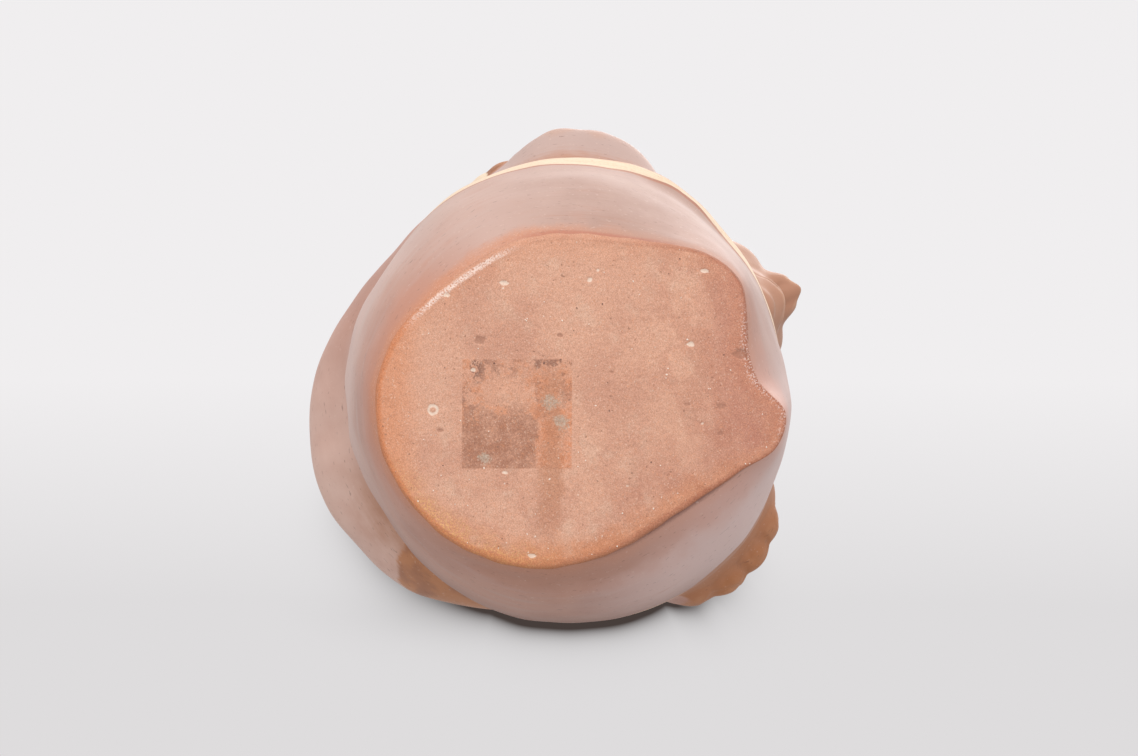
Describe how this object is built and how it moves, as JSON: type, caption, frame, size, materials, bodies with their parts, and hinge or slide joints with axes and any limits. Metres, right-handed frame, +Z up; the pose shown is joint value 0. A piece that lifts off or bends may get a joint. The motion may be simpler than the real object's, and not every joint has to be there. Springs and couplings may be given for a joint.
{
  "type": "figural jug",
  "caption": "Hand-built clay jug in the form of a seated figure, with a hollow body, a modelled head, an upright flared spout and a strap handle.",
  "frame": {"origin": "centre of the flat foot, on the surface that the jug stands on", "axes": "+Z up; the figure faces -Y and its left hand is on the +X side"},
  "size_m": [0.1621, 0.1726, 0.2043],
  "materials": {
    "plum_slip": "burnished plum-red slip, satin",
    "orange_slip": "burnished orange-brown slip, satin",
    "cream_slip": "painted cream slip, matte",
    "bare_clay": "bare fired clay, matte and gritty"
  },
  "bodies": {
    "root": {"foot_slab": "bare_clay", "body_front_half": "plum_slip", "body_back_half": "plum_slip", "foot_coil": "bare_clay", "neck": "orange_slip", "face_half": "orange_slip", "head_back_half": "orange_slip", "headband": "cream_slip", "spout_tube": "orange_slip", "spout_rim": "cream_slip", "strap_handle": "orange_slip", "seam_coil_left": "bare_clay", "arm_left": "orange_slip", "hand_left": "orange_slip", "ear_left": "orange_slip", "ear_spool_left": "cream_slip", "seam_coil_right": "bare_clay", "arm_right": "orange_slip", "hand_right": "orange_slip", "ear_right": "orange_slip", "ear_spool_right": "cream_slip"}
  },
  "joints": []
}
